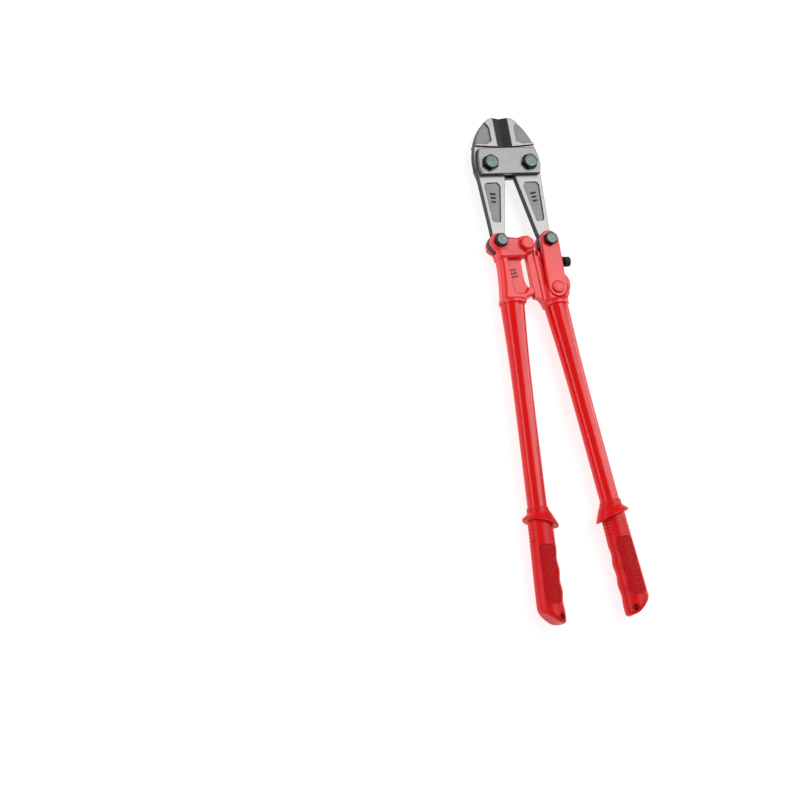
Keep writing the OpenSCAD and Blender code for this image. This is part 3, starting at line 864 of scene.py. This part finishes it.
def hatch_depth_at(outward, upward, run, sizes):
    """Depth of the crossed diagonal grooves, zero away from the two panels."""
    in_panel = ease(-hatch_panel(outward, run), 0, 0.5) * ease(np.abs(upward), 2, 4)
    period = sizes.hatch_spacing
    first = groove((outward + run) * math.sqrt(0.5), period, 1.2)
    second = groove((outward - run) * math.sqrt(0.5), period, 1.2)
    return in_panel * (0.3 + sizes.hatch_depth * np.maximum(first, second))


def thumb_ribs(outward, upward, run, pitch, width):
    """1 in the middle of each groove between the thumb ribs on the grip's two sides; width is a
    groove's part of the pitch."""
    along = groove(run - 17, pitch, pitch * width) * ease(run, 16.2, 17.5) * (1 - ease(run, 31.5, 33.5))
    return along * ease(np.abs(outward) - np.abs(upward) * 0.55, 3.5, 5)


def grip_field(outward, upward, run, sizes):
    """Grip along its axis: a collar, a slanted guard that widens like a cone, and an oval body
    that swells towards a slanted end, with finger scallops on the inner side, thumb ribs, hatched
    panels, the tube's bore and a hanging hole."""
    radial = np.hypot(outward, upward)
    collar = carried(radial - 9.4, run, 0, 12, 0.7)
    slant = 12 - 0.23 * outward
    guard_q = np.hypot((outward + 1.2) / 15.7, upward / GUARD_Z)
    cone = 3.0 + (slant - 3.0) * np.clip((guard_q - 0.60) / 0.40, 0, 1.2)
    guard = both((cone - run) * 0.75, (run - slant - 1.5) * 0.974, 1.2)
    guard = both(guard, (guard_q - 1) * GUARD_Z, 1.0)
    swell = ease(run, 14, 82)
    inner, outer, half = 11.6 + 1.4 * swell, 10.0 + 0.8 * swell, 10.0 + 0.55 * swell
    middle, reach = (outer - inner) / 2, (outer + inner) / 2
    body = (np.hypot((outward - middle) / reach, upward / half) - 1) * half
    inner_side = ease(-outward, 3, 9)
    scallop = sizes.scallop * (0.5 - 0.5 * np.cos((run - 36) * 2 * math.pi / 18))
    body = body + inner_side * scallop * ease(run, 34, 38) * (1 - ease(run, 88, 93))
    body = body + 0.45 * thumb_ribs(outward, upward, run, sizes.rib_pitch, 0.55)
    body = body + hatch_depth_at(outward, upward, run, sizes)
    end = both(run - GRIP_RUN, (run - GRIP_RUN + 0.73 * (outward + 5)) * 0.808, 3.0)
    body = both(body, end, 3.5)
    body = both(body, 12 - run)
    grip = join(join(collar, body, 0.3), guard, 0.6)
    grip = cut(grip, both(radial - TUBE_R - 0.02, run - 79.4))
    return cut(grip, disc(outward, run, HANG_HOLE, HANG_HOLE_R), 0.8)


def grip_masks(points, sizes):
    """Where the surface is sunk, to paint shade there: the hatching, the grooves between the thumb ribs and
    the hanging hole."""
    outward, upward, run = points.T
    depth = hatch_depth_at(outward, upward, run, sizes)
    rib = thumb_ribs(outward, upward, run, sizes.rib_pitch, 0.6)
    # Painted shade goes where the hatching, the rib grooves and the hanging hole are sunk
    sunk = np.maximum(ease(depth, 0.15, 0.5), rib * 0.6)
    hole = ease(-disc(outward, run, HANG_HOLE, HANG_HOLE_R - 0.05), -0.4, 0.2)
    return {"groove": np.maximum(sunk, hole)}


# ---- Finishes ----

def put(tree, kind, sockets=None, **settings):
    """Adds a shader node. A socket given as an output is linked; any other value is set."""
    node = tree.nodes.new(kind)
    for name, value in settings.items():
        setattr(node, name, value)
    for key, value in (sockets or {}).items():
        if isinstance(value, bpy.types.NodeSocket):
            tree.links.new(value, node.inputs[key])
        else:
            node.inputs[key].default_value = value
    return node


def new_finish(name):
    """A material, its node tree and its surface shader."""
    finish = bpy.data.materials.new(name)
    finish.use_nodes = True
    tree = finish.node_tree
    return finish, tree, tree.nodes["Principled BSDF"]


def noise(tree, scale, detail=3.0, stretch=(1.0, 1.0, 1.0)):
    """Noise on Object coordinates: scale is its cells per metre, stretch squeezes it by axis."""
    place = put(tree, "ShaderNodeTexCoord")
    mapping = put(tree, "ShaderNodeMapping", {"Vector": place.outputs["Object"], "Scale": stretch})
    grain = put(tree, "ShaderNodeTexNoise", {
        "Vector": mapping.outputs["Vector"], "Scale": scale, "Detail": detail})
    return grain.outputs["Fac"]


def spread(tree, value, low, high, from_low=0.3, from_high=0.7):
    """Maps a value to a range, such as noise to a roughness."""
    return put(tree, "ShaderNodeMapRange", {
        "Value": value, "From Min": from_low, "From Max": from_high,
        "To Min": low, "To Max": high}).outputs["Result"]


def mixed(tree, part, first, second):
    """Colour between first and second."""
    colours = [value if isinstance(value, bpy.types.NodeSocket) else (*value, 1)
               for value in (first, second)]
    node = put(tree, "ShaderNodeMix", data_type="RGBA")
    for key, value in (("Factor_Float", part), ("A_Color", colours[0]), ("B_Color", colours[1])):
        socket = next(item for item in node.inputs if item.identifier == key)
        if isinstance(value, bpy.types.NodeSocket):
            tree.links.new(value, socket)
        else:
            socket.default_value = value
    return next(item for item in node.outputs if item.identifier == "Result_Color")


def blended(tree, part, first, second):
    """Number between first and second."""
    span = {"Value": part, "To Min": first, "To Max": second}
    return put(tree, "ShaderNodeMapRange", span).outputs["Result"]


def mask(tree, name):
    """A piece's own attribute."""
    return put(tree, "ShaderNodeAttribute", attribute_name=name).outputs["Fac"]


def bumped(tree, shader, height, strength, distance):
    """Gives the shader a relief: the height's full range is distance metres deep."""
    bump = put(tree, "ShaderNodeBump", {"Height": height, "Strength": strength, "Distance": distance})
    tree.links.new(bump.outputs["Normal"], shader.inputs["Normal"])


def darker(colour, part):
    """The colour with each channel multiplied by part."""
    return tuple(value * part for value in colour)


def cast_enamel(colours):
    """Semi-gloss enamel over a casting: slightly uneven colour and a fine pebbled skin."""
    finish, tree, shader = new_finish("cast_enamel")
    shade = spread(tree, noise(tree, 55, 4), 0.0, 1.0)
    colour = mixed(tree, shade, darker(colours.cast_red, 0.88), colours.cast_red)
    colour = mixed(tree, mask(tree, "mark"), colour, darker(colours.cast_red, 0.3))
    tree.links.new(colour, shader.inputs["Base Color"])
    tree.links.new(spread(tree, noise(tree, 260), 0.34, 0.44), shader.inputs["Roughness"])
    shader.inputs["Coat Weight"].default_value = 0.25
    shader.inputs["Coat Roughness"].default_value = 0.22
    bumped(tree, shader, noise(tree, 900, 5), 0.35, 0.00025)
    return finish


def tube_enamel(colours):
    """Gloss enamel on a drawn tube, with a faint orange-peel skin."""
    finish, tree, shader = new_finish("tube_enamel")
    shade = spread(tree, noise(tree, 30), 0.0, 1.0)
    colour = mixed(tree, shade, darker(colours.tube_red, 0.92), colours.tube_red)
    tree.links.new(colour, shader.inputs["Base Color"])
    tree.links.new(spread(tree, noise(tree, 140), 0.20, 0.27), shader.inputs["Roughness"])
    shader.inputs["Specular IOR Level"].default_value = 0.2
    shader.inputs["Coat Weight"].default_value = 0.25
    shader.inputs["Coat Roughness"].default_value = 0.08
    bumped(tree, shader, noise(tree, 240, 2), 0.08, 0.0002)
    return finish


def grip_plastic(colours):
    """Moulded plastic with a fine leathery grain, and painted shade where the grooves are sunk."""
    finish, tree, shader = new_finish("grip_plastic")
    sunk = mask(tree, "groove")
    shade = spread(tree, noise(tree, 70, 3), 0.0, 1.0)
    skin = mixed(tree, shade, darker(colours.grip_red, 0.86), colours.grip_red)
    # The sunk places take the darker red as painted shade
    tree.links.new(mixed(tree, sunk, skin, colours.groove_red), shader.inputs["Base Color"])
    tree.links.new(blended(tree, sunk, 0.32, 0.5), shader.inputs["Roughness"])
    shader.inputs["Specular IOR Level"].default_value = 0.2
    bumped(tree, shader, noise(tree, 1500, 4), 0.3, 0.0002)
    return finish


def jaw_steel(colours):
    """Drop-forged jaws: bright ground faces with fine grinding lines, dull pocket floors, dark
    scale on the sides that also stands as painted shade, and polished bevels painted dark as shade."""
    finish, tree, shader = new_finish("jaw_steel")
    ground, pocket, bevel, mark = (mask(tree, name) for name in ("ground", "pocket", "bevel", "mark"))
    lines = noise(tree, 90, 5, (1.0, 24.0, 1.0))
    clouds = noise(tree, 60, 4)
    # Sides and pocket walls: dark scale whose darkness also stands as painted shade
    scale = mixed(tree, spread(tree, clouds, 0, 1), darker(colours.dark_scale, 0.7), colours.dark_scale)
    bright = mixed(tree, spread(tree, lines, 0, 1), darker(colours.ground_steel, 0.9), colours.ground_steel)
    forged = mixed(tree, spread(tree, noise(tree, 700, 4), 0, 1), darker(colours.forged_grey, 0.82),
                   colours.forged_grey)
    colour = mixed(tree, ground, scale, bright)
    colour = mixed(tree, pocket, colour, forged)
    # Bevels take a dark colour as painted shade
    colour = mixed(tree, bevel, colour, colours.bevel_steel)
    colour = mixed(tree, mark, colour, darker(colours.forged_grey, 0.18))
    tree.links.new(colour, shader.inputs["Base Color"])
    rough = blended(tree, ground, 0.5, 0.36)
    rough = put(tree, "ShaderNodeMath", {0: rough, 1: spread(tree, lines, -0.04, 0.04)}).outputs[0]
    rough = put(tree, "ShaderNodeMath", {0: rough, 1: blended(tree, bevel, 0.0, -0.1)}).outputs[0]
    tree.links.new(rough, shader.inputs["Roughness"])
    shader.inputs["Metallic"].default_value = 0.9
    bumped(tree, shader, noise(tree, 1100, 5, (1.0, 3.0, 1.0)), 0.25, 0.00012)
    return finish


def joint_plate_steel(colours):
    """Rolled plate: warm satin faces brushed across the tool, and the sheared sides painted darker as
    shade.
    """
    finish, tree, shader = new_finish("joint_plate_steel")
    ground = mask(tree, "ground")
    lines = noise(tree, 45, 6, (1.0, 42.0, 1.0))
    bright = mixed(tree, spread(tree, lines, 0, 1), darker(colours.plate_steel, 0.86), colours.plate_steel)
    # A darker copy of the plate colour on the sides is painted shade
    dark = darker(colours.plate_steel, 0.75)
    tree.links.new(mixed(tree, ground, dark, bright), shader.inputs["Base Color"])
    tree.links.new(spread(tree, lines, 0.34, 0.46), shader.inputs["Roughness"])
    shader.inputs["Metallic"].default_value = 0.95
    bumped(tree, shader, lines, 0.12, 0.0001)
    return finish


def oxide_steel(colours):
    """Black oxide on the fasteners: satin, with a faint teal cast and fine mottling, and a lighter painted
    sheen on the bolt heads' tops.
    """
    finish, tree, shader = new_finish("oxide_steel")
    shade = spread(tree, noise(tree, 420, 4), 0, 1)
    side = mixed(tree, shade, darker(colours.black_oxide, 0.7), colours.black_oxide)
    # Tops of the bolt heads take the lighter colour as painted sheen
    top = mixed(tree, shade, darker(colours.worn_oxide, 0.8), colours.worn_oxide)
    tree.links.new(mixed(tree, mask(tree, "top"), side, top), shader.inputs["Base Color"])
    tree.links.new(spread(tree, noise(tree, 300), 0.26, 0.38), shader.inputs["Roughness"])
    shader.inputs["Metallic"].default_value = 0.85
    bumped(tree, shader, noise(tree, 1600, 4), 0.15, 0.0001)
    return finish


def finish_of(maker, settings):
    """The finish that a maker function gives, made once and shared."""
    return bpy.data.materials.get(maker.__name__) or maker(settings)


# ---- Operators: one for each piece or group of like pieces ----

class BOLTCUTTER_OT_jaws(bpy.types.Operator):
    """Builds the two forged jaws"""

    bl_idname = "bolt_cutter.jaws"
    bl_label = "Jaws"

    def execute(self, context):
        step = context.scene.bolt_cutter_shape.mesh_step / MM
        finish = finish_of(jaw_steel, context.scene.bolt_cutter_colours)
        low, high = node_margin("right_jaw")
        right = net_surface(jaw_field, low, high, step)
        masks = jaw_masks(right[0], right[2])
        for name, (points, faces, normals) in (("right_jaw", right), ("left_jaw", mirrored(right))):
            piece = make_piece(name + "_forging", [name], points, faces, finish, normals, masks=masks)
        return {"FINISHED"}


class BOLTCUTTER_OT_plates(bpy.types.Operator):
    """Builds the front and rear joint plates"""

    bl_idname = "bolt_cutter.plates"
    bl_label = "Joint plates"

    def execute(self, context):
        step = context.scene.bolt_cutter_shape.mesh_step / MM
        finish = finish_of(joint_plate_steel, context.scene.bolt_cutter_colours)
        low, high = node_margin("front_joint_plate")
        front = net_surface(plate_field, low, high, step)
        for name, shape in (("front_joint_plate", front), ("rear_joint_plate", rear_twin(front))):
            points, faces, normals = shape
            piece = make_piece(name + "_steel", [name], points, faces, finish, normals,
                               masks=face_mask(normals))
        return {"FINISHED"}


class BOLTCUTTER_OT_bolts(bpy.types.Operator):
    """Builds the jaw bolts, tail bolts, centre bolt and their nuts"""

    bl_idname = "bolt_cutter.bolts"
    bl_label = "Bolts and nuts"

    def execute(self, context):
        pitch = context.scene.bolt_cutter_shape.thread_pitch / MM
        colours = context.scene.bolt_cutter_colours
        oxide = finish_of(oxide_steel, colours)
        enamel = finish_of(cast_enamel, colours)
        jaw_bolt = bolt_shape(JAW_BOLT_R, JAW_FLATS, OUTER_Z, OUTER_Z + BOLT_HEAD, pitch)
        right_bolt = bolt_shape(TAIL_BOLT_R, TAIL_FLATS, OUTER_Z, OUTER_Z + BOLT_HEAD, pitch)
        left_bolt = bolt_shape(TAIL_BOLT_R, TAIL_FLATS, BOSS_TOP, BOSS_TOP + BOLT_HEAD, pitch)
        centre_seat = BOSS_TOP + 0.2
        centre_bolt = bolt_shape(
            CENTRE_BOLT_R, CENTRE_HEAD_FLATS, centre_seat, centre_seat + BOLT_HEAD - 1, pitch)
        jaw_nut = nut_shape(JAW_BOLT_R, JAW_FLATS, FLOOR_Z, -OUTER_Z)
        tail_nut = nut_shape(TAIL_BOLT_R, TAIL_FLATS, FLOOR_Z, -OUTER_Z)
        centre_nut = nut_shape(CENTRE_BOLT_R, CENTRE_NUT_FLATS, FLOOR_Z + 0.1, -OUTER_Z - 0.2)
        tail, jaw = (TAIL_X, TAIL_Y, 0), (JAW_X, JAW_Y, 0)
        left_tail, left_jaw = (-TAIL_X, TAIL_Y, 0), (-JAW_X, JAW_Y, 0)
        pieces = [
            ("right_jaw_bolt", jaw_bolt, jaw, 8), ("left_jaw_bolt", jaw_bolt, left_jaw, 22),
            ("right_jaw_nut", jaw_nut, jaw, 30), ("left_jaw_nut", jaw_nut, left_jaw, 12),
            ("right_tail_bolt", right_bolt, tail, 25), ("left_tail_bolt", left_bolt, left_tail, 5),
            ("right_tail_nut", tail_nut, tail, 40), ("left_tail_nut", tail_nut, left_tail, 18),
            ("centre_bolt", centre_bolt, (0, 0, 0), 20), ("centre_nut", centre_nut, (0, 0, 0), 10),
        ]
        for name, (points, faces), place, turn in pieces:
            turned = points @ np.array(Matrix.Rotation(math.radians(turn), 3, "Z")).T + np.array(place)
            red = name == "centre_bolt"
            # Bolt head tops are marked for painted sheen
            top = ease(points[:, 2], points[:, 2].max() - 0.3, points[:, 2].max() - 0.1)
            masks = {"top": top if "bolt" in name else 0.0}
            piece = make_piece(name + "_turned", [name], turned, faces, enamel if red else oxide,
                               crease=32, masks=masks)
        return {"FINISHED"}


class BOLTCUTTER_OT_yokes(bpy.types.Operator):
    """Builds the two cast yokes"""

    bl_idname = "bolt_cutter.yokes"
    bl_label = "Yokes"

    def execute(self, context):
        step = context.scene.bolt_cutter_shape.mesh_step / MM
        finish = finish_of(cast_enamel, context.scene.bolt_cutter_colours)
        for name, field in (("left_yoke", left_yoke_field), ("right_yoke", right_yoke_field)):
            low, high = node_margin(name, 3.5)
            points, faces, normals = net_surface(field, low, high, step)
            masks = yoke_masks(points) if name == "left_yoke" else {}
            piece = make_piece(name + "_casting", [name], points, faces, finish, normals, masks=masks)
        return {"FINISHED"}


class BOLTCUTTER_OT_links(bpy.types.Operator):
    """Builds the side links and the pin that anchors them"""

    bl_idname = "bolt_cutter.links"
    bl_label = "Side links"

    def execute(self, context):
        step = context.scene.bolt_cutter_shape.mesh_step / MM
        finish = finish_of(cast_enamel, context.scene.bolt_cutter_colours)
        low, high = node_margin("front_side_link")
        front = net_surface(link_field, low, high, step)
        for name, shape in (("front_side_link", front), ("rear_side_link", rear_twin(front))):
            points, faces, normals = shape
            piece = make_piece(name + "_bar", [name], points, faces, finish, normals)
        points, faces = pin_shape(TAIL_BOLT_R)
        points = points + np.array([ANCHOR_X, ANCHOR_Y, 0])
        pin = make_piece("anchor_pin_rivet", ["anchor_pin"], points, faces, finish, crease=40)
        return {"FINISHED"}


class BOLTCUTTER_OT_adjuster(bpy.types.Operator):
    """Builds the adjusting block, screw and lock nut"""

    bl_idname = "bolt_cutter.adjuster"
    bl_label = "Adjuster"

    def execute(self, context):
        shape = context.scene.bolt_cutter_shape
        oxide = finish_of(oxide_steel, context.scene.bolt_cutter_colours)
        low, high = node_margin("adjusting_block")
        points, faces, normals = net_surface(block_field, low, high, shape.mesh_step / MM * BLOCK_STEP)
        block = make_piece("adjusting_block_steel", ["adjusting_block"], points, faces, oxide, normals)
        turned = (("adjusting_screw", screw_shape(shape.thread_pitch / MM * 0.8)),
                  ("adjusting_lock_nut", lock_nut_shape()))
        for name, (points, faces) in turned:
            piece = make_piece(name + "_turned", [name], along_x(points), faces, oxide, crease=32)
        return {"FINISHED"}


class BOLTCUTTER_OT_tubes(bpy.types.Operator):
    """Builds the two flared tubes"""

    bl_idname = "bolt_cutter.tubes"
    bl_label = "Tubes"

    def execute(self, context):
        finish = finish_of(tube_enamel, context.scene.bolt_cutter_colours)
        for name, collar_y, side in (("left_tube", LEFT_COLLAR_Y, -1), ("right_tube", RIGHT_COLLAR_Y, 1)):
            points, faces = tube_shape(collar_y)
            points = points * np.array([side, 1, 1])
            faces = [face[::-1] for face in faces] if side < 0 else faces
            piece = make_piece(name + "_drawn", [name], points, faces, finish, crease=40)
        return {"FINISHED"}


class BOLTCUTTER_OT_grips(bpy.types.Operator):
    """Builds the two moulded grips"""

    bl_idname = "bolt_cutter.grips"
    bl_label = "Grips"

    def execute(self, context):
        shape = context.scene.bolt_cutter_shape
        sizes = GripSizes(shape)
        finish = finish_of(grip_plastic, context.scene.bolt_cutter_colours)

        def field(outward, upward, run):
            return grip_field(outward, upward, run, sizes)

        step = shape.mesh_step / MM * GRIP_STEP
        local, faces, normals = net_surface(field, (-19, -17, -1), (18, 17, 103), step)
        masks = grip_masks(local, sizes)
        points = handle_points(local, GRIP_TOP_Y)
        normals = handle_points(normals, GRIP_TOP_Y) - handle_points(np.zeros((1, 3)), GRIP_TOP_Y)
        right = (points, faces, normals)
        for name, (points, faces, normals) in (("right_grip", right), ("left_grip", mirrored(right))):
            piece = make_piece(name + "_moulding", [name], points, faces, finish, normals, masks=masks)
        return {"FINISHED"}


# ---- Stage ----

def direction(azimuth, elevation):
    """Unit vector towards a place seen at that azimuth and elevation; azimuth 0 is behind -Y."""
    return Vector((math.sin(azimuth) * math.cos(elevation), -math.cos(azimuth) * math.cos(elevation),
                   math.sin(elevation)))


def softbox(name, azimuth, elevation, distance, size, power):
    """Rectangular lamp that faces the tool; size is (across, along)."""
    lamp = bpy.data.lights.new(name, "AREA")
    lamp.shape = "RECTANGLE"
    lamp.size, lamp.size_y = size
    lamp.energy = power
    holder = bpy.data.objects.new(name, lamp)
    bpy.context.scene.collection.objects.link(holder)
    towards = direction(math.radians(azimuth), math.radians(elevation))
    holder.location = towards * distance
    holder.rotation_euler = towards.to_track_quat("Z", "Y").to_euler()


def studio_camera(studio):
    """Camera on a line from the target, level at first and then rolled about that line."""
    back = direction(studio.azimuth, studio.elevation)
    level_right = Vector((math.cos(studio.azimuth), math.sin(studio.azimuth), 0))
    level_up = back.cross(level_right)
    right = level_right * math.cos(studio.roll) + level_up * math.sin(studio.roll)
    turn = Matrix((right, back.cross(right), back)).transposed().to_4x4()
    data = bpy.data.cameras.new("studio_camera")
    data.lens = studio.lens
    data.sensor_width = 36
    data.clip_end = 50
    camera = bpy.data.objects.new("studio_camera", data)
    bpy.context.scene.collection.objects.link(camera)
    camera.matrix_world = Matrix.Translation(Vector(studio.target) + back * studio.distance) @ turn
    bpy.context.scene.camera = camera


def studio_floor():
    """Plain pale floor: a large square at the level that the tool lies on."""
    reach = 6.0
    level = CAD_BOX[0].z
    mesh = bpy.data.meshes.new("studio_floor")
    mesh.from_pydata([(-reach, -reach, level), (reach, -reach, level), (reach, reach, level),
                      (-reach, reach, level)], [], [(0, 1, 2, 3)])
    finish, _, shader = new_finish("pale_floor")
    shader.inputs["Base Color"].default_value = (0.35, 0.35, 0.35, 1)
    shader.inputs["Roughness"].default_value = 0.9
    shader.inputs["Emission Color"].default_value = (1, 1, 1, 1)
    shader.inputs["Emission Strength"].default_value = 0.8
    mesh.materials.append(finish)
    floor = bpy.data.objects.new("studio_floor", mesh)
    bpy.context.scene.collection.objects.link(floor)


class BOLTCUTTER_OT_stage(bpy.types.Operator):
    """Builds the floor, the lights and the camera"""

    bl_idname = "bolt_cutter.stage"
    bl_label = "Stage"

    def execute(self, context):
        studio = context.scene.bolt_cutter_studio
        studio_floor()
        studio_camera(studio)
        softbox("mirrored_box", 127, 64, 1.9, (1.1, 1.1), studio.box_power)
        softbox("left_strip", -106, 21, 1.6, (2.2, 0.5), studio.side_power)
        softbox("right_strip", 104, 28, 1.8, (0.3, 2.0), studio.side_power * 0.7)
        world = bpy.data.worlds.new("studio_world")
        world.use_nodes = True
        background = world.node_tree.nodes["Background"]
        background.inputs["Color"].default_value = (1, 1, 1, 1)
        background.inputs["Strength"].default_value = studio.world_light
        context.scene.world = world
        context.scene.view_settings.view_transform = "Standard"
        return {"FINISHED"}


class BOLTCUTTER_PT_panel(bpy.types.Panel):
    """Lists the steps and the settings"""

    bl_label = "Bolt cutter"
    bl_idname = "BOLTCUTTER_PT_panel"
    bl_space_type = "VIEW_3D"
    bl_region_type = "UI"
    bl_category = "Bolt cutter"

    def draw(self, context):
        for step in STEPS:
            self.layout.operator(step.bl_idname)
        for group in SETTINGS:
            settings = getattr(context.scene, group)
            for name in settings.bl_rna.properties.keys():
                if name not in ("rna_type", "name"):
                    self.layout.prop(settings, name)


STEPS = (
    BOLTCUTTER_OT_jaws, BOLTCUTTER_OT_plates, BOLTCUTTER_OT_bolts, BOLTCUTTER_OT_yokes,
    BOLTCUTTER_OT_links, BOLTCUTTER_OT_adjuster, BOLTCUTTER_OT_tubes, BOLTCUTTER_OT_grips,
    BOLTCUTTER_OT_stage,
)
SETTINGS = {
    "bolt_cutter_shape": BoltCutterShape,
    "bolt_cutter_colours": BoltCutterColours,
    "bolt_cutter_studio": BoltCutterStudio,
}


def register():
    for group, settings in SETTINGS.items():
        bpy.utils.register_class(settings)
        setattr(bpy.types.Scene, group, PointerProperty(type=settings))
    for item in (*STEPS, BOLTCUTTER_PT_panel):
        bpy.utils.register_class(item)


def unregister():
    for item in (BOLTCUTTER_PT_panel, *reversed(STEPS)):
        bpy.utils.unregister_class(item)
    for group, settings in SETTINGS.items():
        delattr(bpy.types.Scene, group)
        bpy.utils.unregister_class(settings)


def main():
    register()
    for step in STEPS:
        family, name = step.bl_idname.split(".")
        getattr(getattr(bpy.ops, family), name)()
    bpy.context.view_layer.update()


if __name__ == "__main__":
    main()
